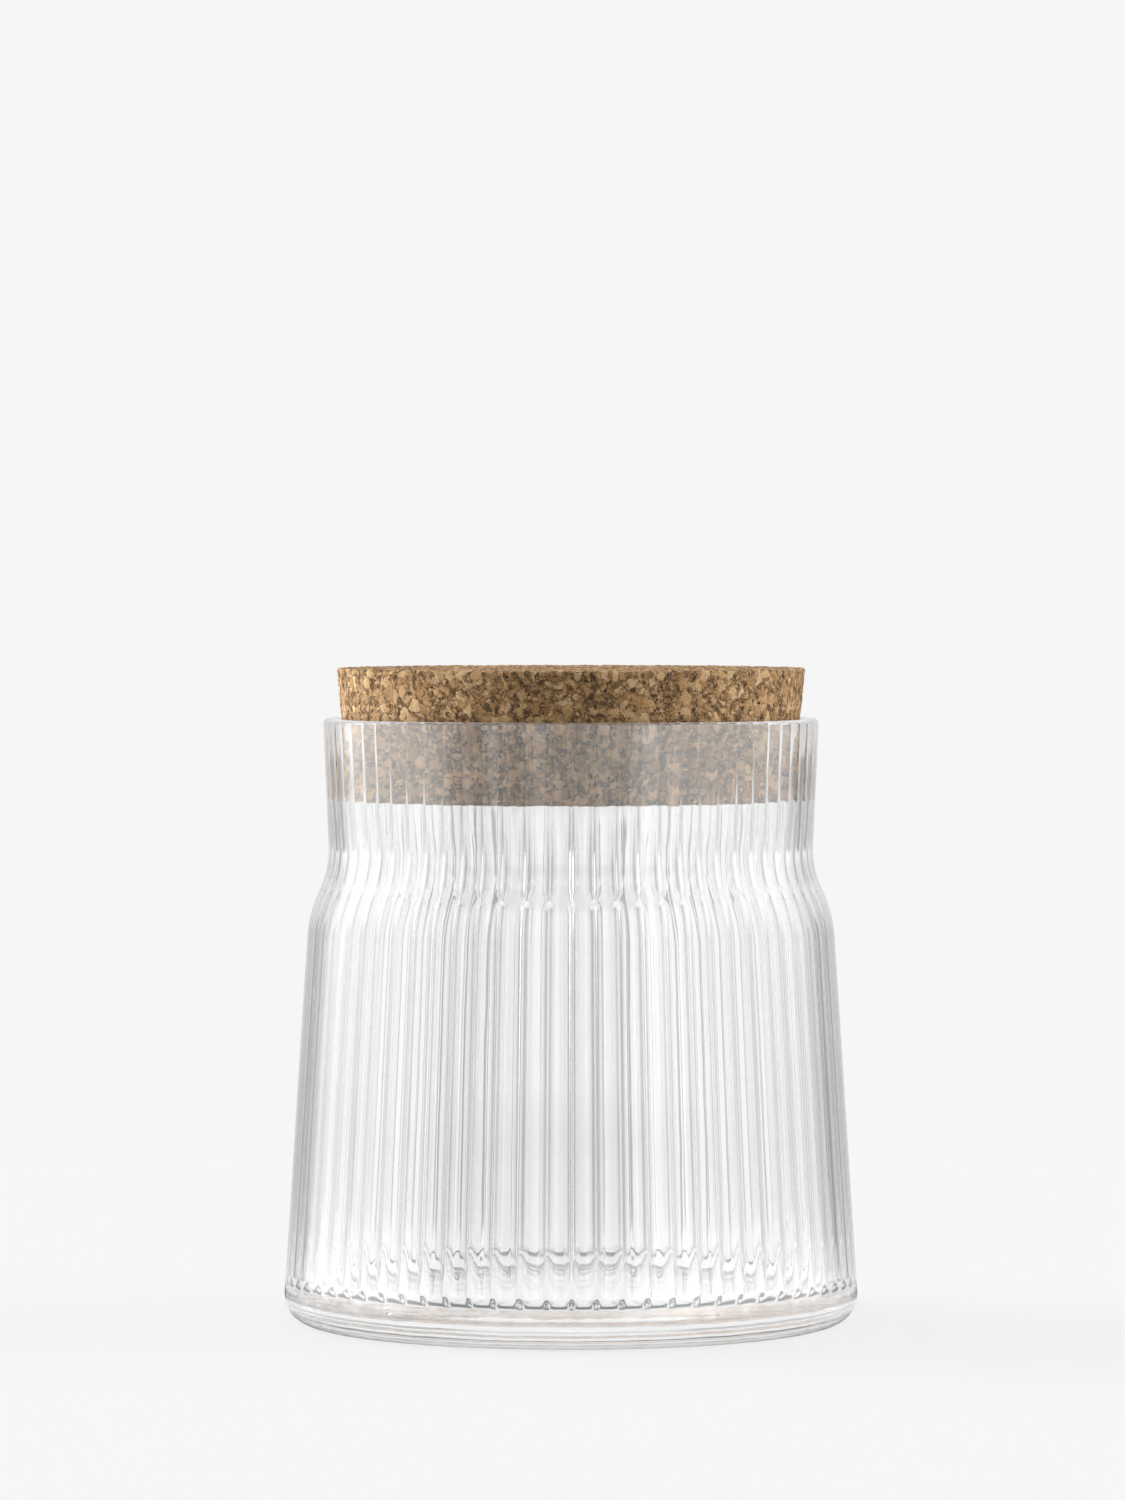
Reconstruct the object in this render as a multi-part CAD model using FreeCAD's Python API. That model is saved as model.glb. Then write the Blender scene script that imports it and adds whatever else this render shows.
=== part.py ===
import FreeCAD, Part
import math
import os

# Storage jar: a blown glass jar with a ribbed bore, and a tapered cork lid pushed into its neck.
# Millimetres, +Z up. The origin is at the centre of the foot, on the surface that the jar stands on.
# Profiles are drawn as (radius, height) in the XZ plane and turned about the Z axis.

# Jar, outside: heights stack up from the floor, and diameters are those of the sharp corners
BODY_HEIGHT = 92.8
SHOULDER_RISE = 10.4
NECK_LENGTH = 33.8
FOOT_DIAMETER = 130.9
SHOULDER_DIAMETER = 118.9
WAIST_DIAMETER = 109.4
RIM_DIAMETER = 112.4
FOOT_RADIUS = 6.4
SHOULDER_RADIUS = 28.0
WAIST_RADIUS = 21.0
RIM_EDGE_RADIUS = 1.1

# Jar, underside: a flat ring that it stands on, round a shallow hollow
FOOT_RING_WIDTH = 9.0
HOLLOW_DEPTH = 0.8

# Jar, inside: the wall is measured at the grooves between the ribs
WALL = 3.3
FLOOR_THICKNESS = 8.5
FLOOR_CORNER_RADIUS = 3.0
RIM_BEVEL = 0.6

# Ribs on the inside of the wall: broad rounded crests with narrow grooves between them
RIB_COUNT = 68
RIB_DEPTH = 0.55
GROOVE_SHARE = 0.32

# Cork lid: a plain tapered plug that wedges at the rim and narrows towards its toe
LID_THICKNESS = 30.0
LID_PROUD = 11.5
LID_SEAT_CLEARANCE = 0.25
LID_TOE_CLEARANCE = 1.15
LID_EDGE_RADIUS = 0.6

# Length by which cutting shapes pass the faces that they cut
OVERRUN = 2.0

# Most of a straight stretch that the roundings at its two ends may take up
ROUNDING_SHARE = 0.98

# Flat steps in which the ribbed bore takes each bend of the wall
BEND_STEPS = 3

ORIGIN = FreeCAD.Vector(0, 0, 0)
UP = FreeCAD.Vector(0, 0, 1)

# Heights and outside corners that follow from the sizes above
WAIST_HEIGHT = BODY_HEIGHT + SHOULDER_RISE
RIM_HEIGHT = WAIST_HEIGHT + NECK_LENGTH
LID_TOP = RIM_HEIGHT + LID_PROUD
LID_TOE = LID_TOP - LID_THICKNESS
FOOT_CORNER = (FOOT_DIAMETER / 2, 0)
SHOULDER_CORNER = (SHOULDER_DIAMETER / 2, BODY_HEIGHT)
WAIST_CORNER = (WAIST_DIAMETER / 2, WAIST_HEIGHT)
RIM_CORNER = (RIM_DIAMETER / 2, RIM_HEIGHT)


def profile_point(radius, height):
    """A point of a profile, in the XZ plane."""
    return FreeCAD.Vector(radius, 0, height)


def line(start, end):
    """A straight edge."""
    return Part.LineSegment(start, end).toShape()


def arc(start, middle, end):
    """A round edge through three points."""
    return Part.Arc(start, middle, end).toShape()


def rounded_path(corners):
    """Edges of an open path through (radius, height, rounding), with a tangent arc at each rounded corner."""
    points = [profile_point(radius, height) for radius, height, rounding in corners]
    half_angles = [math.pi / 2]
    for before, corner, after in zip(points, points[1:], points[2:]):
        half_angles.append((before - corner).getAngle(after - corner) / 2)
    half_angles.append(math.pi / 2)
    tangents = [corner[2] / math.tan(half) for corner, half in zip(corners, half_angles)]
    fits = [1]
    for index in range(len(points) - 1):
        wanted = tangents[index] + tangents[index + 1]
        room = ROUNDING_SHARE * points[index].distanceToPoint(points[index + 1])
        fits.append(min(1, room / wanted) if wanted > 0 else 1)
    fits.append(1)

    edges = []
    start = points[0]
    for index in range(1, len(points) - 1):
        corner = points[index]
        tangent = tangents[index] * min(fits[index], fits[index + 1])
        back = (points[index - 1] - corner).normalize()
        ahead = (points[index + 1] - corner).normalize()
        arc_start = corner + back * tangent
        edges.append(line(start, arc_start))
        start = arc_start
        if tangent > 0:
            half = half_angles[index]
            to_arc = tangent / math.cos(half) - tangent * math.tan(half)
            arc_end = corner + ahead * tangent
            edges.append(arc(arc_start, corner + (back + ahead).normalize() * to_arc, arc_end))
            start = arc_end
    edges.append(line(start, points[-1]))
    return edges


def turned(edges):
    """The solid that an open path swept about the Z axis encloses, closed along that axis."""
    wire = Part.Wire(edges + [line(edges[-1].Vertexes[-1].Point, edges[0].Vertexes[0].Point)])
    return Part.Face(wire).revolve(ORIGIN, UP, 360)


def radius_on(low, high, height):
    """Radius at a height on the straight line through two (radius, height) points."""
    risen_share = (height - low[1]) / (high[1] - low[1])
    return low[0] + risen_share * (high[0] - low[0])


def body_groove_radius(height):
    """Radius of the bore in the grooves, on the body's straight line."""
    return radius_on(FOOT_CORNER, SHOULDER_CORNER, height) - WALL


def neck_groove_radius(height):
    """Radius of the bore in the grooves, on the neck's straight line."""
    return radius_on(WAIST_CORNER, RIM_CORNER, height) - WALL


def neck_crest_radius(height):
    """Radius of the neck's bore over the crests of the ribs, which is what the lid fits."""
    return neck_groove_radius(height) - RIB_DEPTH


def jar_blank():
    """The outside of the jar as a full solid, with the hollow under its foot."""
    outline = rounded_path([
        (0, 0, 0),
        (*FOOT_CORNER, FOOT_RADIUS),
        (*SHOULDER_CORNER, SHOULDER_RADIUS),
        (*WAIST_CORNER, WAIST_RADIUS),
        (*RIM_CORNER, RIM_EDGE_RADIUS),
        (0, RIM_HEIGHT, 0),
    ])
    stand_radius = outline[0].Vertexes[-1].X
    return turned(outline).cut(foot_hollow(stand_radius - FOOT_RING_WIDTH))


def foot_hollow(edge_radius):
    """The shallow dome under the foot, inside the ring that the jar stands on."""
    dome_radius = (edge_radius ** 2 + HOLLOW_DEPTH ** 2) / (2 * HOLLOW_DEPTH)
    half_way = edge_radius / 2
    half_way_height = HOLLOW_DEPTH - dome_radius + math.sqrt(dome_radius ** 2 - half_way ** 2)
    edge = profile_point(edge_radius, 0)
    under_edge = profile_point(edge_radius, -OVERRUN)
    crown = profile_point(0, HOLLOW_DEPTH)
    return turned([
        line(profile_point(0, -OVERRUN), under_edge),
        line(under_edge, edge),
        arc(edge, profile_point(half_way, half_way_height), crown),
    ])


def bore_stations():
    """(groove radius, height) at stations up the bore, from the floor's flat to above the bevelled rim."""
    bevel_foot = RIM_HEIGHT - RIM_BEVEL
    floor_line, *wall = rounded_path([
        (0, FLOOR_THICKNESS, 0),
        (body_groove_radius(FLOOR_THICKNESS), FLOOR_THICKNESS, FLOOR_CORNER_RADIUS),
        (body_groove_radius(BODY_HEIGHT), BODY_HEIGHT, SHOULDER_RADIUS - WALL),
        (neck_groove_radius(WAIST_HEIGHT), WAIST_HEIGHT, WAIST_RADIUS + WALL),
        (neck_groove_radius(bevel_foot), bevel_foot, 0),
    ])
    stations = [floor_line.Vertexes[-1].Point]
    for edge in wall:
        steps = 1 if edge.Curve.TypeId == "Part::GeomLine" else BEND_STEPS
        stations.extend(edge.discretize(steps + 1)[1:])
    past_bevel = RIM_BEVEL + OVERRUN
    stations.append(stations[-1] + profile_point(past_bevel, past_bevel))
    return [(station.x, station.z) for station in stations]


def rib_section(groove_radius, height):
    """One pitch of the bore at a height: a narrow groove and a broad crest, which meet in line."""
    pitch = 2 * math.pi / RIB_COUNT
    meeting_radius = groove_radius - RIB_DEPTH * GROOVE_SHARE

    def at(radius, pitch_share):
        angle = pitch * pitch_share
        return FreeCAD.Vector(radius * math.cos(angle), radius * math.sin(angle), height)

    crest_start = at(meeting_radius, GROOVE_SHARE / 2)
    crest_end = at(meeting_radius, 1 - GROOVE_SHARE / 2)
    groove_start = at(meeting_radius, -GROOVE_SHARE / 2)
    groove = arc(groove_start, at(groove_radius, 0), crest_start)
    crest = arc(crest_start, at(groove_radius - RIB_DEPTH, 1 / 2), crest_end)
    return Part.Wire([groove, crest])


def round_the_bore(pitch_shape):
    """A copy of one pitch's shape for each rib."""
    copies = []
    for rib in range(RIB_COUNT):
        copy = pitch_shape.copy()
        copy.rotate(ORIGIN, UP, 360 * rib / RIB_COUNT)
        copies.append(copy)
    return copies


def ribbed_bore():
    """The ribbed space inside the jar, from its floor to past its rim."""
    sections = [rib_section(radius, height) for radius, height in bore_stations()]
    faces = []
    for pitch in round_the_bore(Part.makeLoft(sections, False, True)):
        faces.extend(pitch.Faces)
    for end in (sections[0], sections[-1]):
        edges = []
        for pitch in round_the_bore(end):
            edges.extend(pitch.Edges)
        faces.append(Part.Face(Part.Wire(edges)))
    shell = Part.Shell(faces)
    shell.sewShape()
    return Part.Solid(shell)


def glass_jar():
    """The jar: its blank, less the ribbed bore."""
    return jar_blank().cut(ribbed_bore())


def cork_lid():
    """The lid: a cone through its seat at the rim and its toe in the neck."""
    seat = (neck_crest_radius(RIM_HEIGHT) - LID_SEAT_CLEARANCE, RIM_HEIGHT)
    toe = (neck_crest_radius(LID_TOE) - LID_TOE_CLEARANCE, LID_TOE)
    return turned(rounded_path([
        (0, LID_TOE, 0),
        (*toe, LID_EDGE_RADIUS),
        (radius_on(toe, seat, LID_TOP), LID_TOP, LID_EDGE_RADIUS),
        (0, LID_TOP, 0),
    ]))


os.makedirs("parts", exist_ok=True)
for node, build in (("glass_jar", glass_jar), ("cork_lid", cork_lid)):
    solid = build()
    solid.exportStep(f"parts/{node}.step")
    print(f"{node}: {len(solid.Solids)} solid, valid {solid.isValid()}, {solid.Volume / 1000:.1f} cm3")
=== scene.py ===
import math
import random

import bpy
from bpy.props import FloatProperty, FloatVectorProperty, IntProperty, PointerProperty
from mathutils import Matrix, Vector


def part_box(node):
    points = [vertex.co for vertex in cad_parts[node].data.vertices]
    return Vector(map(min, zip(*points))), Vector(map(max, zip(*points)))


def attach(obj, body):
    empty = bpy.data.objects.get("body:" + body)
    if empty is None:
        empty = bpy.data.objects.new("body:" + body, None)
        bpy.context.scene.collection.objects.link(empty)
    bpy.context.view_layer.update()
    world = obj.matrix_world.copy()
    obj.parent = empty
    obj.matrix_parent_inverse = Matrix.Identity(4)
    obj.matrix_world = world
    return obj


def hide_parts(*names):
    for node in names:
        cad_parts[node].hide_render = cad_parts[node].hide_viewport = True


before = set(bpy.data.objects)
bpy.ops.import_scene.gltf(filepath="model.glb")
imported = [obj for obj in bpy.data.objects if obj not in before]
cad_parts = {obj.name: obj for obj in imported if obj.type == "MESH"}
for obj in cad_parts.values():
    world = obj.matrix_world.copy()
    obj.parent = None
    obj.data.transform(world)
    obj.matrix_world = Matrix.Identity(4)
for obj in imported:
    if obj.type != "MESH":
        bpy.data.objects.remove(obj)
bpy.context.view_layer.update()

bl_info = {
    "name": "Ribbed Glass Jar",
    "version": (1, 0, 0),
    "blender": (4, 5, 0),
    "location": "View3D > Sidebar > Jar",
    "description": "Builds a ribbed glass storage jar with a cork lid, and a plain studio round it",
    "category": "Add Mesh",
}

JAR_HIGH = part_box("glass_jar")[1]
LID_LOW, LID_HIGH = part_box("cork_lid")

# Rows and columns of the meshes
COLUMNS_PER_RIB = 16
WALL_ROW = 0.012
OUTSIDE_ROW = 0.025
PINCH_ROW = 0.0006
LID_ROW = 0.0007
LID_COLUMNS = 512
MERGE_DISTANCE = 1e-6

# How often a spun sector is doubled to make a whole turn
SECTOR_DOUBLINGS = 4

# Steps of the curves in the outlines
HOLLOW_STEPS = 3
FOOT_STEPS = 9
OUTER_BEND_STEPS = 6
INNER_BEND_STEPS = 7
RIM_STEPS = 5
FLOOR_CORNER_STEPS = 10
LID_EDGE_STEPS = 2

# Chance in the ribs: the seed of the dice, and the waves round the jar in which the ribs wander
RIB_SEED = 7
DRIFT_WAVES = (3, 7, 13, 21)
LEAST_DRIFT_SHARE = 0.5

# How steeply the unevenness of the foot starts at its top and bottom
FOOT_FADE = 4

# Haze on the glass: the part of its waves in which it shows, and its roughness
HAZE_EDGE = (0.5, 0.8)
HAZE_ROUGHNESS = 0.015

# Make-up of the pressed cork: shares of whole and broken granules and of pits among the crumbs
WHOLE_SHARE = 0.34
BROKEN_SHARE = 0.55
PIT_SHARE = 0.28

# How far crumbs lie below the granules, as a share of the relief
CRUMB_SINK_SHARE = 0.4

# Waves that warp the granules, across one granule, and the part of the waves in which crevices open
WARP_WAVES = 1.3
CREVICE_OPENING = (0.4, 0.6)

# Tones of the cork, from 0 for dark to 1 for light, and how far they are mottled
WHOLE_LEAST_TONE = 0.3
BROKEN_MOST_TONE = 0.9
CRUMB_MOST_TONE = 0.8
MID_TONE = 0.45
MOTTLING = 1.7
# How far painted shade darkens the crevices and pits, and the roughness of the darkest and lightest cork
CREVICE_PAINTED_SHADE = 0.75
PIT_PAINTED_SHADE = 0.9
DARK_ROUGHNESS = 0.92
LIGHT_ROUGHNESS = 0.75

# Soft lights: the way that each one lies, and the angles in degrees at which it starts to fade and is gone
BACKDROP_LIGHT = ((0, 1, 0), 10, 16)
LEFT_KEY_LIGHT = ((-0.927, 0.375, 0), 16, 36)
RIGHT_KEY_LIGHT = ((0.97, 0.12, 0), 16, 36)
FRONT_FILL_LIGHT = ((0, -1, 0.05), 12, 26)
OVERHEAD_LIGHT = ((0, 0, 1), 20, 50)
FRONT_SHEEN_LIGHT = ((0, -1, 0.05), 60, 120)
LEFT_SHEEN_LIGHT = ((-0.996, 0.087, 0.05), 15, 48)
RIGHT_SHEEN_LIGHT = ((0.966, -0.259, 0.05), 30, 62)

# Scale of the directions that makes a round light taller than it is wide
TALL_LIGHT_SCALE = (1, 1, 0.75)

# Edge of the studio's dark corners in glass: how far the squares of a level direction's two parts differ
CORNER_EDGE = (0.8, 0.92)

# Other soft edges of the studio in glass, each from its start to its end, by one part of a direction
CEILING_EDGE = (-0.012, 0.02)
GROUND_EDGE = (-0.26, -0.1)
STRIPS_EDGE = (-0.5, -0.2)
CEILING_SHEEN_EDGE = (0.15, 0.4)

# Strip lights on each side of the middle
STRIPS_A_SIDE = 3

# Studio floor: its size, its gap to the jar's foot, and the share of its bounced light that is lost
FLOOR_RADIUS = 0.45
FLOOR_SIDES = 96
FLOOR_GAP = 5e-5
FLOOR_LOSS_SHARE = 0.8

# Distances from the floor's middle in glass: where it fades, and where shadows start, are full and end
FLOOR_FADE = (0.13, 0.2)
FOOT_SHADE_RING = (0.08, 0.095, 0.1, 0.125)
CONTACT_SHADE_RING = (0.054, 0.058, 0.064, 0.07)

# Bounces of light: more than this means at least one, and the most that are followed
ANY_BOUNCE = 0.5
MOST_BOUNCES = 40

# The photograph's frame in its own pixels, the camera's sensor in millimetres and its near limit in metres
PHOTO_WIDTH = 1125
PHOTO_HEIGHT = 1500
SENSOR_WIDTH = 36.0
CLIP_START = 0.05


def length(name, description, default):
    """A size in metres."""
    return FloatProperty(
        name=name, description=description, default=default, unit="LENGTH", subtype="DISTANCE"
    )


def share(name, description, default):
    """A share between none and all."""
    return FloatProperty(name=name, description=description, default=default, min=0, max=1, subtype="FACTOR")


def strength(name, description, default):
    """A strength of light, where 1 shows as white."""
    return FloatProperty(name=name, description=description, default=default, min=0)


def pixels(name, description, default):
    """A measure in the photograph's pixels."""
    return FloatProperty(name=name, description=description, default=default)


def colour(name, description, default):
    """A linear colour."""
    return FloatVectorProperty(
        name=name, description=description, default=default, size=3, min=0, max=1, subtype="COLOR"
    )


class JarSettings(bpy.types.PropertyGroup):
    """Sizes and colour of the glass jar."""

    foot_diameter: length("Foot diameter", "Across the sharp corner of body and floor", 0.1309)
    shoulder_diameter: length("Shoulder diameter", "Across the sharp corner of body and shoulder", 0.1189)
    waist_diameter: length("Waist diameter", "Across the sharp corner of shoulder and neck", 0.1094)
    rim_diameter: length("Rim diameter", "Outside the rim", 0.1124)
    body_height: length("Body height", "From the floor to the shoulder's corner", 0.0928)
    shoulder_rise: length("Shoulder rise", "From the shoulder's corner to the waist", 0.0104)
    rim_height: length("Rim height", "From the floor to the rim", JAR_HIGH.z)
    foot_radius: length("Foot rounding", "Rounding of the outer corner at the foot", 0.0064)
    shoulder_radius: length("Shoulder rounding", "Rounding of the shoulder, outside", 0.028)
    waist_radius: length("Waist rounding", "Rounding of the waist, outside", 0.021)
    rim_edge_radius: length("Rim rounding", "Rounding of the rim's edges", 0.0011)
    foot_ring_width: length("Foot ring width", "Width of the flat ring that the jar stands on", 0.009)
    hollow_depth: length("Hollow depth", "Depth of the hollow under the foot", 0.0008)
    wall: length("Wall", "Thickness of the wall in the grooves", 0.0033)
    floor_thickness: length("Floor thickness", "Thickness of the glass under the floor", 0.0085)
    floor_corner_radius: length("Floor rounding", "Rounding of the inner corner at the floor", 0.003)
    rib_count: IntProperty(name="Ribs", description="Ribs round the inside of the wall", default=68, min=8)
    rib_depth: length("Rib depth", "Height of the ribs over the grooves", 0.0008)
    groove_share: share("Groove share", "Half width of the grooves, as a share of the ribs' pitch", 0.12)
    bulge_share: share("Bulge share", "How far the crests bulge, as a share of the ribs' height", 0.07)
    rib_unevenness: share("Rib unevenness", "How far the grooves differ in depth", 0.4)
    rib_drift_share: share("Rib drift", "How far the ribs wander, as a share of their pitch", 0.12)
    neck_fade_start: length("Neck fade start", "Height at which the ribs start to fade", 0.112)
    neck_fade_length: length("Neck fade length", "Stretch in which the ribs fade", 0.008)
    neck_fade_share: share("Neck fade", "How far the ribs fade towards the rim", 0.75)
    crowding_share: share("Crowding", "How far the mesh's columns are crowded into the grooves", 0.7)
    web_share: FloatProperty(
        name="Webs", description="Height of the webs at the floor, in rib depths", default=2.0
    )
    pinch_length: length("Pinch length", "Stretch of the shoulder in which the grooves pinch", 0.0011)
    pinch_share: share("Pinch share", "How far the grooves narrow where they pinch", 0.6)
    ripple: length("Ripple", "Slow unevenness of blown glass", 0.0001)
    ripple_spacing: length("Ripple spacing", "Size of the slow unevenness", 0.035)
    wobble: length("Foot wobble", "Unevenness of the thick glass of the foot", 0.00016)
    wobble_spacing: length("Wobble spacing", "Size of the foot's unevenness", 0.009)
    glass_colour: colour("Glass colour", "Tint of the glass", (0.99, 0.99, 0.99))


class LidSettings(bpy.types.PropertyGroup):
    """Sizes and colours of the cork lid."""

    top_diameter: length("Top diameter", "Across the sharp top edge", 0.10634)
    toe_diameter: length("Toe diameter", "Across the sharp lower edge", 0.10076)
    edge_radius: length("Edge rounding", "Rounding of both edges", 0.0006)
    granule_size: length("Granule size", "Distance between cork granules", 0.002)
    crumb_size: length("Crumb size", "Distance between the fine crumbs among them", 0.0006)
    relief: length("Relief", "How far granules stand over each other", 0.00034)
    # The crevices' floors and edges, and the pits, also bound where painted shade is laid into the cork
    crevice_floor: length("Crevice floor", "Half width of the dark floor of a crevice", 0.00004)
    crevice_edge: length("Crevice edge", "Half width of a whole crevice", 0.00022)
    crevice_depth: length("Crevice depth", "Depth that the finish gives the crevices", 0.0002)
    pit_depth: length("Pit depth", "Depth of the open pits", 0.0005)
    pit_edge: length("Pit edge", "Width of the slope round a pit", 0.0001)
    fine_grain: length("Fine grain", "Size of the mottling on the granules", 0.0005)
    fine_relief: length("Fine relief", "Depth that the finish gives the mottling", 0.0005)
    light_cork: colour("Light cork", "Palest granules", (0.74, 0.5, 0.27))
    mid_cork: colour("Mid cork", "Common granules", (0.49, 0.287, 0.124))
    dark_cork: colour("Dark cork", "Darkest granules", (0.315, 0.171, 0.07))
    # Painted shade: a near-black brown laid into the crevices and pits, where shade falls among the granules
    painted_hollow_shade: colour("Bark", "Crevices and pits", (0.06, 0.034, 0.016))


class StageSettings(bpy.types.PropertyGroup):
    """Camera and light of the studio."""

    camera_distance: length("Camera distance", "From the lens to the jar's axis", 1.56)
    camera_height: length("Camera height", "From the floor to the lens", 0.1683)
    pixels_per_metre: pixels("Pixels per metre", "Photograph pixels per metre at the jar's axis", 4410.8)
    horizon_row: pixels("Horizon row", "Photograph row of the horizon", 580)
    axis_column: pixels("Axis column", "Photograph column of the jar's axis", 571)
    backdrop: share("Backdrop", "Level of the pale background", 0.9216)
    room: strength("Room", "Level of the room between its lights", 0.17)
    left_key: strength("Left key", "Light from the left", 10.0)
    right_key: strength("Right key", "Light from the right", 4.8)
    front_fill: strength("Front fill", "Light from the front", 1.8)
    overhead: strength("Overhead", "Light from above", 1.0)
    room_in_sheen: strength("Room in sheen", "Level of the room as the glass mirrors it", 0.75)
    front_sheen: strength("Front sheen", "Light that the glass mirrors from the front", 1.7)
    left_sheen: strength("Left sheen", "Light that the glass mirrors from the left", 4.3)
    right_sheen: strength("Right sheen", "Light that the glass mirrors from the right", 3.5)
    ceiling_sheen: strength("Ceiling sheen", "Light that the glass mirrors from above", 0.4)
    walls_in_glass: strength("Walls in glass", "Level of the pale walls as glass shows them", 0.71)
    corners_in_glass: strength("Corners in glass", "Level of the dark corners as glass shows them", 0.25)
    ceiling_in_glass: strength("Ceiling in glass", "Level of the pale ceiling as glass shows it", 0.88)
    floor_in_glass: strength("Floor in glass", "Level of the pale floor as glass shows it", 0.76)
    strips_in_glass: strength("Strips in glass", "Level of the strip lights as glass shows them", 3.2)
    foot_shade: share("Foot shade", "How dark glass shows the shadow round the foot", 0.85)
    contact_shade: share("Contact shade", "How dark glass shows the floor under the foot's edge", 0.8)
    floor_fill: share("Floor fill", "Level that fills in the shadow on the floor", 0.915)
    shadow_fill: share("Shadow fill", "How far the shadow on the floor is filled in", 0.85)
    floor_colour: colour("Floor colour", "Colour of the pale floor", (0.9, 0.9, 0.9))


def finished(operator_name, result):
    """Stops the script where an operator of Blender's did not finish."""
    if "FINISHED" not in result:
        raise RuntimeError(f"{operator_name} did not finish")


def clamped(value):
    """A value kept between 0 and 1."""
    return max(0.0, min(1.0, value))


def rounded_outline(corners):
    """Points of a path through (radius, height, rounding, steps). Rounded corners become arcs."""
    outline = [Vector((corners[0][0], 0, corners[0][1]))]
    for before, corner, after in zip(corners, corners[1:], corners[2:]):
        point = Vector((corner[0], 0, corner[1]))
        rounding, steps = corner[2:]
        if not rounding:
            outline.append(point)
            continue
        back = (Vector((before[0], 0, before[1])) - point).normalized()
        ahead = (Vector((after[0], 0, after[1])) - point).normalized()
        half = back.angle(ahead) / 2
        centre = point + (back + ahead).normalized() * rounding / math.sin(half)
        arc_start = point + back * rounding / math.tan(half)
        arc_end = point + ahead * rounding / math.tan(half)
        turn = math.pi - 2 * half
        first = (arc_start - centre) / rounding
        last = (arc_end - centre) / rounding
        for step in range(steps + 1):
            angle = turn * step / steps
            spoke = first * math.sin(turn - angle) + last * math.sin(angle)
            outline.append(centre + spoke * rounding / math.sin(turn))
    outline.append(Vector((corners[-1][0], 0, corners[-1][1])))
    return outline


def filled_in(outline, spacing):
    """The outline with its long stretches cut evenly, to the spacing that their middle asks for."""
    filled = [outline[0]]
    for start, end in zip(outline, outline[1:]):
        pieces = max(1, math.ceil((end - start).length / spacing((start + end) / 2)))
        for piece in range(1, pieces + 1):
            filled.append(start.lerp(end, piece / pieces))
    return filled


def drawn_outline(name, outline):
    """An object whose mesh is one line of vertices along the outline, drawn by extruding a point."""
    bpy.ops.object.select_all(action="DESELECT")
    bpy.ops.mesh.primitive_plane_add(location=(0, 0, 0))
    piece = bpy.context.object
    piece.name = name
    piece.data.name = name
    bpy.ops.object.mode_set(mode="EDIT")
    bpy.ops.mesh.select_all(action="SELECT")
    bpy.ops.mesh.merge(type="CENTER")
    bpy.ops.transform.translate(value=outline[0])
    for start, end in zip(outline, outline[1:]):
        bpy.ops.mesh.extrude_region_move(TRANSFORM_OT_translate={"value": end - start})
    bpy.ops.object.mode_set(mode="OBJECT")
    return piece


def spun(columns):
    """Turns the active outline about the Z axis: a sector is spun, then doubled until the skin is closed."""
    sector = 2 * math.pi / 2 ** SECTOR_DOUBLINGS
    steps = columns // 2 ** SECTOR_DOUBLINGS
    bpy.ops.object.mode_set(mode="EDIT")
    bpy.ops.mesh.select_all(action="SELECT")
    finished("spin", bpy.ops.mesh.spin(steps=steps, angle=sector, center=(0, 0, 0), axis=(0, 0, 1)))
    for doubling in range(SECTOR_DOUBLINGS):
        bpy.ops.mesh.select_all(action="SELECT")
        bpy.ops.mesh.duplicate()
        turn = sector * 2 ** doubling
        bpy.ops.transform.rotate(value=turn, orient_axis="Z", center_override=(0, 0, 0))
    bpy.ops.mesh.select_all(action="SELECT")
    bpy.ops.mesh.remove_doubles(threshold=MERGE_DISTANCE)
    bpy.ops.mesh.normals_make_consistent(inside=False)
    bpy.ops.object.mode_set(mode="OBJECT")
    bpy.ops.object.shade_smooth()


def applied(piece, modifier):
    """Applies a modifier of a piece."""
    bpy.context.view_layer.objects.active = piece
    finished(modifier.name, bpy.ops.object.modifier_apply(modifier=modifier.name))


def fed(tree, socket, value):
    """Links or sets an input socket."""
    if isinstance(value, bpy.types.NodeSocket):
        tree.links.new(value, socket)
    else:
        socket.default_value = value


def node(tree, kind, inputs=None, **values):
    """Adds a node, sets its values, and links or sets its inputs."""
    made = tree.nodes.new(kind)
    for name, value in values.items():
        setattr(made, name, value)
    for name, value in (inputs or {}).items():
        fed(tree, made.inputs[name], value)
    return made


def maths(tree, operation, *values):
    """The result of a maths node on values or sockets."""
    return node(tree, "ShaderNodeMath", dict(enumerate(values)), operation=operation).outputs[0]


def vector_maths(tree, operation, *values):
    """The vector, length or dot product that a vector maths node makes of vectors or sockets."""
    made = node(tree, "ShaderNodeVectorMath", dict(enumerate(values)), operation=operation)
    return made.outputs["Value" if operation in ("LENGTH", "DOT_PRODUCT") else "Vector"]


def scaled(tree, vector, amount):
    """A vector times an amount."""
    made = node(tree, "ShaderNodeVectorMath", {0: vector, "Scale": amount}, operation="SCALE")
    return made.outputs["Vector"]


def smooth_step(tree, value, low, high, at_low=0.0, at_high=1.0):
    """A smooth change from one level to another as a value goes from low to high."""
    inputs = {"Value": value, "From Min": low, "From Max": high, "To Min": at_low, "To Max": at_high}
    return node(tree, "ShaderNodeMapRange", inputs, interpolation_type="SMOOTHSTEP").outputs["Result"]


def mixed_value(tree, amount, first, second):
    """Two values mixed by an amount."""
    mix = node(tree, "ShaderNodeMix", data_type="FLOAT")
    for socket, value in zip((mix.inputs[0], mix.inputs[2], mix.inputs[3]), (amount, first, second)):
        fed(tree, socket, value)
    return mix.outputs[0]


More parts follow.
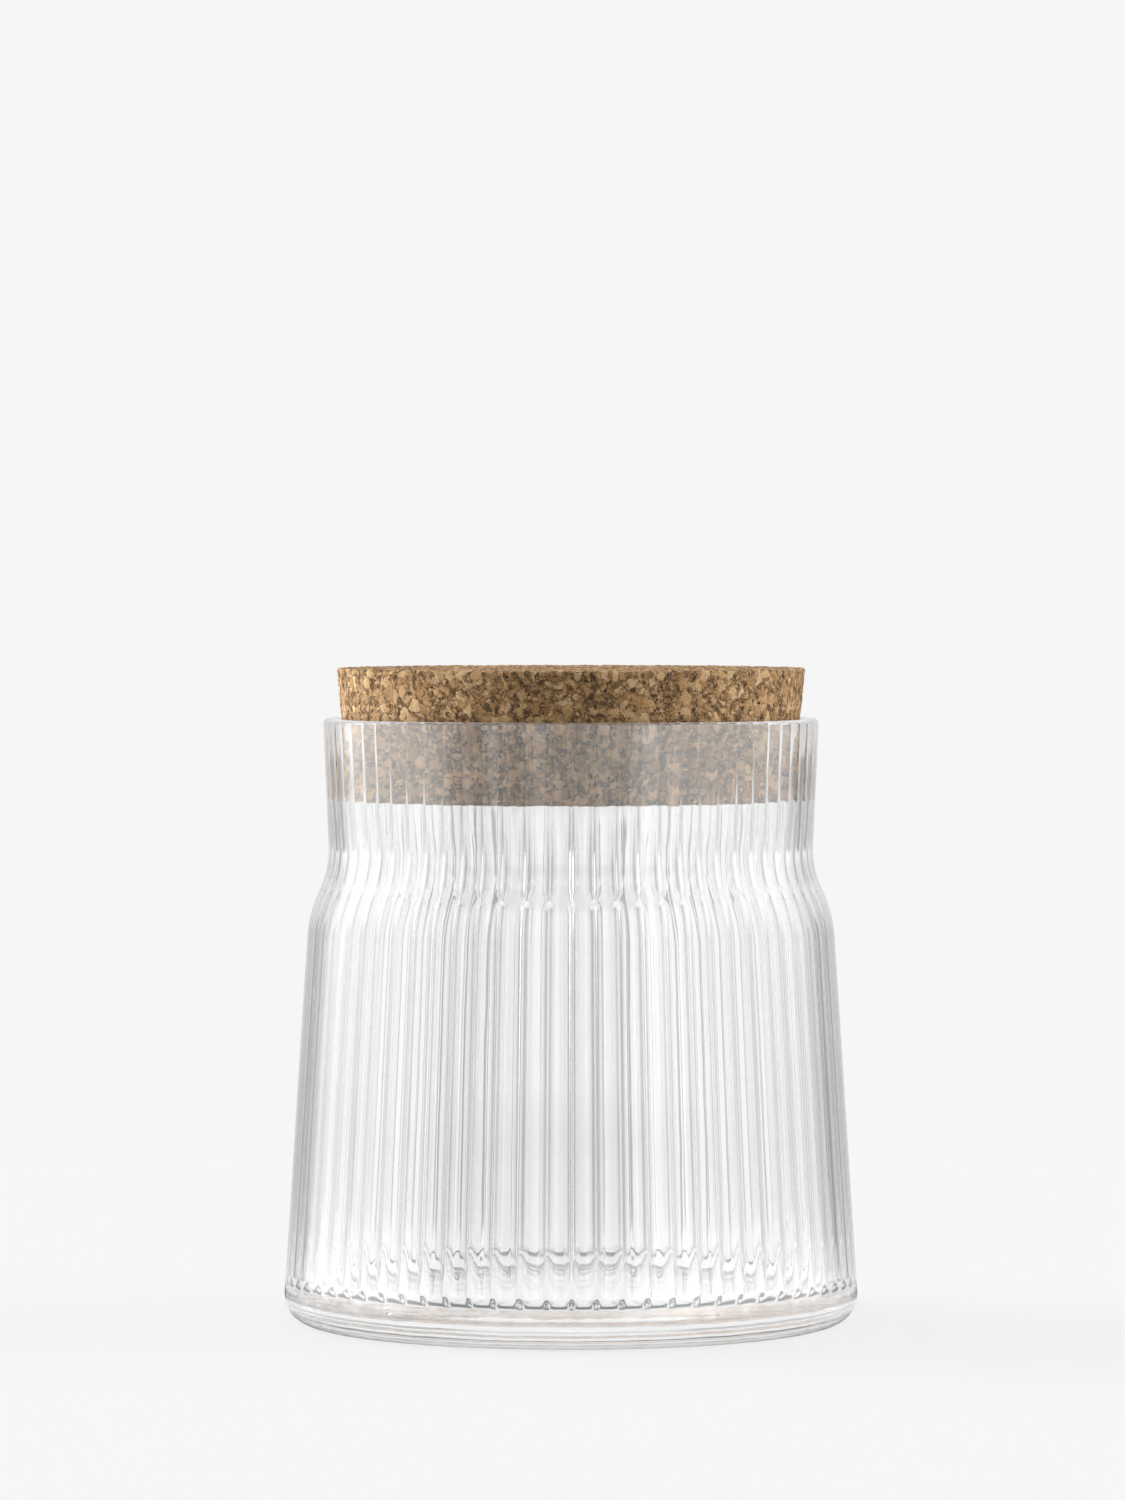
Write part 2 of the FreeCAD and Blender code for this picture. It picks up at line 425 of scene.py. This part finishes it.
def mixed_colour(tree, amount, first, second):
    """Two colours mixed by an amount."""
    mix = node(tree, "ShaderNodeMix", data_type="RGBA")
    for name, value in (("Factor", amount), ("A", first), ("B", second)):
        fed(tree, next(socket for socket in mix.inputs if socket.name == name and socket.enabled), value)
    return next(socket for socket in mix.outputs if socket.enabled)


def mixed_shader(tree, amount, first, second):
    """Two shaders mixed by an amount."""
    return node(tree, "ShaderNodeMixShader", {0: amount, 1: first, 2: second}).outputs[0]


def opaque(linear_colour):
    """A colour with full alpha."""
    return (*linear_colour, 1.0)


def new_material(name):
    """A material with an empty node tree but for its output."""
    material = bpy.data.materials.new(name)
    material.use_nodes = True
    material.node_tree.nodes.clear()
    output = material.node_tree.nodes.new("ShaderNodeOutputMaterial")
    return material, material.node_tree, output


def clear_glass(settings):
    """Clear blown glass, with a faint ripple and a breath of haze on its surface."""
    material, tree, output = new_material("Clear blown glass")
    place = node(tree, "ShaderNodeTexCoord").outputs["Object"]
    ripple = node(tree, "ShaderNodeTexNoise", {"Vector": place, "Scale": 90.0, "Detail": 1.0}).outputs["Fac"]
    bump = node(tree, "ShaderNodeBump", {"Height": ripple, "Strength": 0.02, "Distance": 0.001})
    haze = node(tree, "ShaderNodeTexNoise", {"Vector": place, "Scale": 55.0, "Detail": 4.0}).outputs["Fac"]
    glass = node(tree, "ShaderNodeBsdfPrincipled", {
        "Base Color": opaque(settings.glass_colour),
        "Transmission Weight": 1.0,
        "IOR": 1.5,
        "Roughness": smooth_step(tree, haze, *HAZE_EDGE, 0.0, HAZE_ROUGHNESS),
        "Normal": bump.outputs["Normal"],
    })
    tree.links.new(glass.outputs["BSDF"], output.inputs["Surface"])
    return material


def rib_height(place, settings, groove_depth, pinch):
    """Height of the ribs, from 0 in a full groove to 1 on a crest, at a place in pitches from a groove.

    The pinch runs from 0 to 1 where the groove is narrowest and half as deep.
    """
    from_groove = abs(place - round(place))
    bulge = (1 - math.cos(2 * math.pi * from_groove)) / 2
    groove_width = settings.groove_share * (1 - settings.pinch_share * pinch)
    groove = groove_depth * (1 - pinch / 2) * math.exp(-(from_groove / groove_width) ** 2)
    return settings.bulge_share * bulge + (1 - settings.bulge_share) * (1 - groove)


class JAR_OT_build_glass_jar(bpy.types.Operator):
    """Spin the jar's outline and press the ribs into its bore"""

    bl_idname = "jar.build_glass_jar"
    bl_label = "Glass jar"

    def execute(self, context):
        settings = context.scene.jar_settings
        outside = self.outside_outline(settings)
        inside = self.inside_outline(settings)
        piece = drawn_outline("jar_glass", outside + inside)
        ribs = piece.vertex_groups.new(name="Ribs")
        webs = piece.vertex_groups.new(name="Webs")
        for index, point in enumerate(inside, len(outside)):
            rib, web = self.rib_and_web(settings, point)
            ribs.add([index], rib, "REPLACE")
            webs.add([index], web, "REPLACE")
        spun(settings.rib_count * COLUMNS_PER_RIB)
        self.press_ribs(settings, piece, ribs)
        self.ripple(settings, piece)
        piece.data.materials.append(clear_glass(settings))
        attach(piece, "jar")
        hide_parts("glass_jar")
        return {"FINISHED"}

    def outside_outline(self, settings):
        """From the middle of the hollow under the foot, up the outside, to the middle of the rim."""
        foot = settings.foot_diameter / 2
        shoulder = settings.shoulder_diameter / 2
        waist = settings.waist_diameter / 2
        rim = settings.rim_diameter / 2
        waist_height = settings.body_height + settings.shoulder_rise
        half_angle = math.atan2(settings.body_height, foot - shoulder) / 2
        ring_outside = foot - settings.foot_radius / math.tan(half_angle)
        ring_inside = ring_outside - settings.foot_ring_width
        hollow = []
        for step in range(HOLLOW_STEPS):
            out = step / HOLLOW_STEPS
            hollow.append((ring_inside * out, settings.hollow_depth * (1 - out ** 2), 0, 0))
        outline = rounded_outline(hollow + [
            (ring_inside, 0, 0, 0),
            (foot, 0, settings.foot_radius, FOOT_STEPS),
            (shoulder, settings.body_height, settings.shoulder_radius, OUTER_BEND_STEPS),
            (waist, waist_height, settings.waist_radius, OUTER_BEND_STEPS),
            (rim, settings.rim_height, settings.rim_edge_radius, RIM_STEPS),
            (rim - settings.wall / 2, settings.rim_height, 0, 0),
        ])
        return filled_in(outline, lambda middle: OUTSIDE_ROW)

    def inside_outline(self, settings):
        """From the rim, down the bore, to the middle of the floor."""
        foot = settings.foot_diameter / 2
        shoulder = settings.shoulder_diameter / 2
        waist = settings.waist_diameter / 2
        rim = settings.rim_diameter / 2
        wall = settings.wall
        waist_height = settings.body_height + settings.shoulder_rise
        lean = (foot - shoulder) / settings.body_height
        floor_corner = foot - lean * settings.floor_thickness - wall
        outline = rounded_outline([
            (rim - wall / 2, settings.rim_height, 0, 0),
            (rim - wall, settings.rim_height, settings.rim_edge_radius, RIM_STEPS),
            (waist - wall, waist_height, settings.waist_radius + wall, INNER_BEND_STEPS),
            (shoulder - wall, settings.body_height, settings.shoulder_radius - wall, INNER_BEND_STEPS),
            (floor_corner, settings.floor_thickness, settings.floor_corner_radius, FLOOR_CORNER_STEPS),
            (0, settings.floor_thickness, 0, 0),
        ])

        def spacing(middle):
            near_pinch = abs(middle.z - self.pinch_height(settings)) < 2 * settings.pinch_length
            return PINCH_ROW if near_pinch else WALL_ROW

        return filled_in(outline[1:], spacing)

    def pinch_height(self, settings):
        """Height of the middle of the shoulder, where the grooves pinch."""
        return settings.body_height + settings.shoulder_rise / 2

    def rib_and_web(self, settings, point):
        """Shares of full rib and of full web between ribs at a point of the bore.

        The ribs end at the rim and the floor, and fade in the neck. The webs fill the floor's corner.
        """
        up_corner = clamped((point.z - settings.floor_thickness) / settings.floor_corner_radius)
        below_rim = clamped((settings.rim_height - point.z) / (2 * settings.rim_edge_radius))
        up_neck = clamped((point.z - settings.neck_fade_start) / settings.neck_fade_length)
        faded = 1 - settings.neck_fade_share * up_neck ** 2 * (3 - 2 * up_neck)
        rib = math.sqrt(up_corner) * below_rim * faded
        web = math.sin(math.pi * math.sqrt(up_corner)) if up_corner < 1 else 0.0
        return rib, web

    def press_ribs(self, settings, piece, ribs):
        """Raises the ribs from the bore. No two grooves are quite alike, as in blown glass."""
        dice = random.Random(RIB_SEED)
        depths = []
        for groove in range(settings.rib_count):
            depths.append(1 - settings.rib_unevenness * dice.random())
        drifts = []
        for waves in DRIFT_WAVES:
            drifts.append((waves, dice.uniform(0, 2 * math.pi), dice.uniform(LEAST_DRIFT_SHARE, 1)))
        pitch = 2 * math.pi / settings.rib_count
        for vertex in piece.data.vertices:
            across = math.hypot(vertex.co.x, vertex.co.y)
            turn = math.atan2(vertex.co.y, vertex.co.x)
            place = turn / pitch
            place -= settings.crowding_share * math.sin(2 * math.pi * place) / (2 * math.pi)
            drift = sum(size * math.sin(waves * turn + phase) for waves, phase, size in drifts) / len(drifts)
            turn = pitch * (place + settings.rib_drift_share * drift)
            vertex.co.x = across * math.cos(turn)
            vertex.co.y = across * math.sin(turn)
            if vertex.groups:
                rib, web = (group.weight for group in vertex.groups)
                from_pinch = (vertex.co.z - self.pinch_height(settings)) / settings.pinch_length
                depth = depths[round(place) % settings.rib_count]
                height = rib_height(place, settings, depth, math.exp(-from_pinch ** 2))
                full = rib * height + settings.web_share * web * (1 - height)
                ribs.add([vertex.index], full / (1 + settings.web_share), "REPLACE")
        press = piece.modifiers.new("Press ribs", "DISPLACE")
        press.vertex_group = ribs.name
        press.mid_level = 0
        press.strength = settings.rib_depth * (1 + settings.web_share)
        applied(piece, press)
        piece.vertex_groups.clear()

    def ripple(self, settings, piece):
        """Gives the walls the slow unevenness of blown glass, and the foot's thick glass a closer one."""
        walls = piece.vertex_groups.new(name="Walls")
        foot = piece.vertex_groups.new(name="Foot")
        for vertex in piece.data.vertices:
            over_floor = vertex.co.z / settings.floor_thickness - 1
            from_ends = min(-over_floor, 1 + over_floor)
            walls.add([vertex.index], clamped(over_floor), "REPLACE")
            foot.add([vertex.index], clamped(FOOT_FADE * from_ends), "REPLACE")
        for name, spacing, height, group in (
            ("Ripple", settings.ripple_spacing, settings.ripple, walls.name),
            ("Foot wobble", settings.wobble_spacing, settings.wobble, foot.name),
        ):
            clouds = bpy.data.textures.new(name, "CLOUDS")
            clouds.noise_scale = spacing
            uneven = piece.modifiers.new(name, "DISPLACE")
            uneven.texture = clouds
            uneven.texture_coords = "LOCAL"
            uneven.strength = height
            uneven.vertex_group = group
            applied(piece, uneven)
        piece.vertex_groups.clear()


def granule_cells(tree, place, size):
    """Random red, green and blue of granules of a size, and the distance in metres from their edges."""
    inputs = {"Vector": place, "Scale": 1 / size, "Randomness": 1.0}
    cells = node(tree, "ShaderNodeTexVoronoi", inputs)
    edges = node(tree, "ShaderNodeTexVoronoi", inputs, feature="DISTANCE_TO_EDGE")
    kind = "ShaderNodeSeparateColor" if tree.type == "SHADER" else "FunctionNodeSeparateColor"
    dice = node(tree, kind, {"Color": cells.outputs["Color"]}).outputs
    return dice, maths(tree, "MULTIPLY", edges.outputs["Distance"], size)


def granules(tree, place, settings):
    """Pressed cork at a place, in a shader or a geometry tree: its tone, crevices, pits and height.

    Whole granules lie among broken ones of half their size, and crumbs fill what is left.
    """
    size = settings.granule_size
    warp = node(tree, "ShaderNodeTexNoise", {"Vector": place, "Scale": WARP_WAVES / size, "Detail": 3.0})
    centred = vector_maths(tree, "SUBTRACT", warp.outputs["Color"], (0.5, 0.5, 0.5))
    warped = vector_maths(tree, "ADD", place, scaled(tree, centred, size))
    large, large_edge = granule_cells(tree, warped, size)
    middle, middle_edge = granule_cells(tree, warped, size / 2)
    small, small_edge = granule_cells(tree, warped, settings.crumb_size)
    whole = maths(tree, "GREATER_THAN", large[2], 1 - WHOLE_SHARE)
    broken = maths(tree, "GREATER_THAN", middle[2], 1 - BROKEN_SHARE)
    crumbs = maths(tree, "SUBTRACT", 1.0, maths(tree, "MAXIMUM", whole, broken))

    crumb_tone = maths(tree, "MULTIPLY", small[0], CRUMB_MOST_TONE)
    broken_tone = maths(tree, "MULTIPLY", middle[0], BROKEN_MOST_TONE)
    whole_tone = smooth_step(tree, large[0], 0.0, 1.0, WHOLE_LEAST_TONE, 1.0)
    tone = mixed_value(tree, whole, mixed_value(tree, broken, crumb_tone, broken_tone), whole_tone)

    edge = mixed_value(tree, whole, mixed_value(tree, broken, small_edge, middle_edge), large_edge)
    near_edge = smooth_step(tree, edge, settings.crevice_floor, settings.crevice_edge, 1.0, 0.0)
    opened = smooth_step(tree, warp.outputs["Fac"], *CREVICE_OPENING)
    crevice = maths(tree, "MULTIPLY", near_edge, opened)

    pit = maths(tree, "MULTIPLY", maths(tree, "GREATER_THAN", small[1], 1 - PIT_SHARE), crumbs)
    pit = maths(tree, "MULTIPLY", pit, smooth_step(tree, small_edge, 0.0, settings.pit_edge))

    height = maths(tree, "MULTIPLY", maths(tree, "SUBTRACT", middle[1], 1.0), settings.relief)
    crumb_sink = maths(tree, "MULTIPLY", crumbs, settings.relief * CRUMB_SINK_SHARE)
    height = maths(tree, "SUBTRACT", height, crumb_sink)
    height = maths(tree, "SUBTRACT", height, maths(tree, "MULTIPLY", pit, settings.pit_depth))
    return {"tone": tone, "crevice": crevice, "pit": pit, "height": height}


def pressed_cork(settings):
    """Pressed cork granules of many tones, with crumbs, crevices and open pits, and painted shade darkening
    the crevices and pits.
    """
    material, tree, output = new_material("Pressed cork")
    place = node(tree, "ShaderNodeTexCoord").outputs["Object"]
    grain = granules(tree, place, settings)
    fine = node(tree, "ShaderNodeTexNoise", {
        "Vector": place,
        "Scale": 1 / settings.fine_grain,
        "Detail": 4.0,
        "Roughness": 0.75,
    }).outputs["Fac"]
    mottled = maths(tree, "MULTIPLY", maths(tree, "SUBTRACT", fine, 0.5), MOTTLING)
    ramp = node(tree, "ShaderNodeValToRGB", {"Fac": maths(tree, "ADD", grain["tone"], mottled)})
    stops = ramp.color_ramp.elements
    stops[0].color = opaque(settings.dark_cork)
    stops[1].color = opaque(settings.light_cork)
    stops.new(MID_TONE).color = opaque(settings.mid_cork)
    # Painted shade: the crevices and pits take the dark shade colour, as shade that falls in them
    crevice_painted_shade = maths(tree, "MULTIPLY", grain["crevice"], CREVICE_PAINTED_SHADE)
    pit_painted_shade = maths(tree, "MULTIPLY", grain["pit"], PIT_PAINTED_SHADE)
    hollow = maths(tree, "MAXIMUM", crevice_painted_shade, pit_painted_shade)
    sunk = maths(tree, "MULTIPLY", grain["crevice"], settings.crevice_depth)
    height = maths(tree, "ADD", grain["height"], maths(tree, "MULTIPLY", fine, settings.fine_relief))
    height = maths(tree, "SUBTRACT", height, sunk)
    bump = node(tree, "ShaderNodeBump", {"Height": height, "Strength": 1.0, "Distance": 1.0})
    surface = node(tree, "ShaderNodeBsdfPrincipled", {
        "Base Color": mixed_colour(tree, hollow, ramp.outputs["Color"], opaque(settings.painted_hollow_shade)),
        "Roughness": smooth_step(tree, grain["tone"], 0.0, 1.0, DARK_ROUGHNESS, LIGHT_ROUGHNESS),
        "Specular IOR Level": 0.08,
        "Sheen Weight": 0.1,
        "Sheen Roughness": 0.5,
        "Normal": bump.outputs["Normal"],
    })
    tree.links.new(surface.outputs["BSDF"], output.inputs["Surface"])
    return material


class JAR_OT_build_cork_lid(bpy.types.Operator):
    """Spin the lid's outline and break its skin into granules and pits"""

    bl_idname = "jar.build_cork_lid"
    bl_label = "Cork lid"

    def execute(self, context):
        settings = context.scene.lid_settings
        outline = rounded_outline([
            (0, LID_LOW.z, 0, 0),
            (settings.toe_diameter / 2, LID_LOW.z, settings.edge_radius, LID_EDGE_STEPS),
            (settings.top_diameter / 2, LID_HIGH.z, settings.edge_radius, LID_EDGE_STEPS),
            (0, LID_HIGH.z, 0, 0),
        ])
        piece = drawn_outline("lid_cork", filled_in(outline, lambda middle: LID_ROW))
        spun(LID_COLUMNS)
        self.break_up(settings, piece)
        piece.data.materials.append(pressed_cork(settings))
        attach(piece, "lid")
        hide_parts("cork_lid")
        return {"FINISHED"}

    def break_up(self, settings, piece):
        """Sinks the skin between the granules and in the pits, in the pattern that the finish shows."""
        tree = bpy.data.node_groups.new("Cork relief", "GeometryNodeTree")
        tree.interface.new_socket("Geometry", in_out="INPUT", socket_type="NodeSocketGeometry")
        tree.interface.new_socket("Geometry", in_out="OUTPUT", socket_type="NodeSocketGeometry")
        skin = node(tree, "NodeGroupInput").outputs["Geometry"]
        place = node(tree, "GeometryNodeInputPosition").outputs["Position"]
        outwards = node(tree, "GeometryNodeInputNormal").outputs["Normal"]
        sunk = scaled(tree, outwards, granules(tree, place, settings)["height"])
        moved = node(tree, "GeometryNodeSetPosition", {"Geometry": skin, "Offset": sunk})
        node(tree, "NodeGroupOutput", {"Geometry": moved.outputs["Geometry"]})
        relief = piece.modifiers.new("Cork relief", "NODES")
        relief.node_group = tree
        applied(piece, relief)
        bpy.data.node_groups.remove(tree)


def floor_through_glass(tree, settings):
    """The floor that glass shows: pale, with shadows round and under the foot, and clear further out."""
    place = node(tree, "ShaderNodeTexCoord").outputs["Object"]
    from_middle = vector_maths(tree, "LENGTH", place)
    level = settings.floor_in_glass
    for ring, shade in (
        (FOOT_SHADE_RING, settings.foot_shade),
        (CONTACT_SHADE_RING, settings.contact_shade),
    ):
        inner = smooth_step(tree, from_middle, *ring[:2])
        outer = smooth_step(tree, from_middle, *ring[2:], shade * settings.floor_in_glass, 0.0)
        level = maths(tree, "SUBTRACT", level, maths(tree, "MULTIPLY", inner, outer))
    lit = node(tree, "ShaderNodeEmission", {"Strength": level}).outputs[0]
    clear = node(tree, "ShaderNodeBsdfTransparent").outputs[0]
    return mixed_shader(tree, smooth_step(tree, from_middle, *FLOOR_FADE), lit, clear)


def pale_floor(settings):
    """Pale paint with its shadow partly filled in, and another level where glass shows it."""
    material, tree, output = new_material("Pale floor")
    path = node(tree, "ShaderNodeLightPath").outputs
    scattered = maths(tree, "GREATER_THAN", path["Diffuse Depth"], ANY_BOUNCE)
    lost = maths(tree, "MULTIPLY", scattered, FLOOR_LOSS_SHARE)
    pale = mixed_colour(tree, lost, opaque(settings.floor_colour), opaque((0, 0, 0)))
    paint = node(tree, "ShaderNodeBsdfDiffuse", {"Color": pale}).outputs[0]
    fill = node(tree, "ShaderNodeEmission", {"Strength": settings.floor_fill}).outputs[0]
    filled = maths(tree, "MULTIPLY", path["Is Camera Ray"], settings.shadow_fill)
    soft = mixed_shader(tree, filled, paint, fill)
    in_glass = maths(tree, "MAXIMUM", path["Is Transmission Ray"], path["Is Glossy Ray"])
    shown = maths(tree, "SUBTRACT", in_glass, scattered)
    shown.node.use_clamp = True
    surface = mixed_shader(tree, shown, soft, floor_through_glass(tree, settings))
    tree.links.new(surface, output.inputs["Surface"])
    material.cycles.emission_sampling = "NONE"
    return material


def studio_through_glass(tree, direction, settings):
    """Level of the studio that glass shows: pale walls with dark corners, and a pale ceiling and ground.

    Reflections inside the glass also show the strip lights in front.
    """
    level_way = vector_maths(tree, "NORMALIZE", vector_maths(tree, "MULTIPLY", direction, (1, 1, 0)))
    way = node(tree, "ShaderNodeSeparateXYZ", {0: level_way}).outputs
    across = maths(tree, "MULTIPLY", way["X"], way["X"])
    along = maths(tree, "MULTIPLY", way["Y"], way["Y"])
    from_corner = maths(tree, "ABSOLUTE", maths(tree, "SUBTRACT", across, along))
    walls = smooth_step(tree, from_corner, *CORNER_EDGE, settings.corners_in_glass, settings.walls_in_glass)
    rise = node(tree, "ShaderNodeSeparateXYZ", {0: direction}).outputs["Z"]
    ceiling = smooth_step(tree, rise, *CEILING_EDGE, 0.0, settings.ceiling_in_glass)
    ground = smooth_step(tree, rise, *GROUND_EDGE, settings.walls_in_glass, 0.0)
    waves = maths(tree, "COSINE", maths(tree, "MULTIPLY", way["X"], 2 * math.pi * STRIPS_A_SIDE))
    in_front = smooth_step(tree, way["Y"], *STRIPS_EDGE, settings.strips_in_glass / 2, 0.0)
    glossy_depth = node(tree, "ShaderNodeLightPath").outputs["Glossy Depth"]
    reflected = maths(tree, "MULTIPLY", in_front, maths(tree, "GREATER_THAN", glossy_depth, ANY_BOUNCE))
    strips = maths(tree, "MULTIPLY", maths(tree, "ADD", waves, 1.0), reflected)
    level = walls
    for other in (ceiling, ground, strips):
        level = maths(tree, "MAXIMUM", level, other)
    return level


def soft_light(tree, direction, towards, full_angle, end_angle, level):
    """Light from round a direction: full within one angle, and gone past another, in degrees."""
    facing = vector_maths(tree, "DOT_PRODUCT", direction, Vector(towards).normalized())
    low = math.cos(math.radians(end_angle))
    high = math.cos(math.radians(full_angle))
    return smooth_step(tree, facing, low, high, 0.0, level)


def lit_by(tree, level, lights):
    """A level with soft lights added to it."""
    for light in lights:
        level = maths(tree, "ADD", level, soft_light(tree, *light))
    return level


class JAR_OT_build_stage(bpy.types.Operator):
    """Set up the pale floor, the studio light and the camera"""

    bl_idname = "jar.build_stage"
    bl_label = "Studio"

    def execute(self, context):
        settings = context.scene.stage_settings
        self.build_floor(settings)
        self.light_world(context, settings)
        self.place_camera(context, settings)
        context.scene.view_settings.view_transform = "Standard"
        context.scene.cycles.max_bounces = MOST_BOUNCES
        context.scene.cycles.transmission_bounces = MOST_BOUNCES
        context.scene.cycles.glossy_bounces = MOST_BOUNCES
        return {"FINISHED"}

    def build_floor(self, settings):
        """Lays the pale floor that the jar stands on."""
        bpy.ops.object.select_all(action="DESELECT")
        bpy.ops.mesh.primitive_circle_add(
            vertices=FLOOR_SIDES, radius=FLOOR_RADIUS, fill_type="NGON", location=(0, 0, -FLOOR_GAP)
        )
        floor = bpy.context.object
        floor.name = "studio_floor"
        floor.data.materials.append(pale_floor(settings))

    def light_world(self, context, settings):
        """Lights the room, with levels of its own where glass mirrors it or shows it through."""
        world = bpy.data.worlds.new("Studio light")
        context.scene.world = world
        world.use_nodes = True
        tree = world.node_tree
        tree.nodes.clear()
        direction = node(tree, "ShaderNodeTexCoord").outputs["Generated"]
        tall = vector_maths(tree, "NORMALIZE", vector_maths(tree, "MULTIPLY", direction, TALL_LIGHT_SCALE))
        level = lit_by(tree, settings.room, (
            (tall, *BACKDROP_LIGHT, settings.backdrop - settings.room),
            (tall, *LEFT_KEY_LIGHT, settings.left_key),
            (tall, *RIGHT_KEY_LIGHT, settings.right_key),
            (tall, *FRONT_FILL_LIGHT, settings.front_fill),
            (direction, *OVERHEAD_LIGHT, settings.overhead),
        ))
        mirrored = lit_by(tree, settings.room_in_sheen, (
            (tall, *FRONT_SHEEN_LIGHT, settings.front_sheen),
            (tall, *LEFT_SHEEN_LIGHT, settings.left_sheen),
            (tall, *RIGHT_SHEEN_LIGHT, settings.right_sheen),
        ))
        rise = node(tree, "ShaderNodeSeparateXYZ", {0: direction}).outputs["Z"]
        ceiling = smooth_step(tree, rise, *CEILING_SHEEN_EDGE, 0.0, settings.ceiling_sheen)
        mirrored = maths(tree, "ADD", mirrored, ceiling)
        through = studio_through_glass(tree, direction, settings)
        path = node(tree, "ShaderNodeLightPath").outputs
        unscattered = maths(tree, "LESS_THAN", path["Diffuse Depth"], ANY_BOUNCE)
        for ray, shown in (("Is Glossy Ray", mirrored), ("Is Transmission Ray", through)):
            level = mixed_value(tree, maths(tree, "MULTIPLY", path[ray], unscattered), level, shown)
        level = mixed_value(tree, path["Is Camera Ray"], level, settings.backdrop)
        glow = node(tree, "ShaderNodeBackground", {"Strength": level, "Color": opaque((1, 1, 1))})
        node(tree, "ShaderNodeOutputWorld", {"Surface": glow.outputs["Background"]})

    def place_camera(self, context, settings):
        """Puts the camera where the photograph was taken from."""
        lens_pixels = settings.camera_distance * settings.pixels_per_metre
        data = bpy.data.cameras.new("Photograph view")
        data.sensor_width = SENSOR_WIDTH
        data.lens = lens_pixels * SENSOR_WIDTH / PHOTO_HEIGHT
        data.clip_start = CLIP_START
        camera = bpy.data.objects.new("Photograph view", data)
        context.scene.collection.objects.link(camera)
        aside = (PHOTO_WIDTH / 2 - settings.axis_column) / settings.pixels_per_metre
        pitch = math.atan((PHOTO_HEIGHT / 2 - settings.horizon_row) / lens_pixels)
        camera.location = (aside, -settings.camera_distance, settings.camera_height)
        camera.rotation_euler = (math.pi / 2 - pitch, 0, 0)
        context.scene.camera = camera


class JAR_PT_panel(bpy.types.Panel):
    """Lists the jar's pieces and settings in the sidebar"""

    bl_label = "Ribbed glass jar"
    bl_idname = "JAR_PT_panel"
    bl_space_type = "VIEW_3D"
    bl_region_type = "UI"
    bl_category = "Jar"

    def draw(self, context):
        for operator, settings in (
            (JAR_OT_build_glass_jar, context.scene.jar_settings),
            (JAR_OT_build_cork_lid, context.scene.lid_settings),
            (JAR_OT_build_stage, context.scene.stage_settings),
        ):
            column = self.layout.column(align=True)
            column.operator(operator.bl_idname)
            for name in settings.__annotations__:
                column.prop(settings, name)


CLASSES = (
    JarSettings,
    LidSettings,
    StageSettings,
    JAR_OT_build_glass_jar,
    JAR_OT_build_cork_lid,
    JAR_OT_build_stage,
    JAR_PT_panel,
)


def register():
    for item in CLASSES:
        bpy.utils.register_class(item)
    bpy.types.Scene.jar_settings = PointerProperty(type=JarSettings)
    bpy.types.Scene.lid_settings = PointerProperty(type=LidSettings)
    bpy.types.Scene.stage_settings = PointerProperty(type=StageSettings)


def unregister():
    del bpy.types.Scene.stage_settings
    del bpy.types.Scene.lid_settings
    del bpy.types.Scene.jar_settings
    for item in reversed(CLASSES):
        bpy.utils.unregister_class(item)


def main():
    register()
    bpy.ops.jar.build_glass_jar()
    bpy.ops.jar.build_cork_lid()
    bpy.ops.jar.build_stage()


if __name__ == "__main__":
    main()
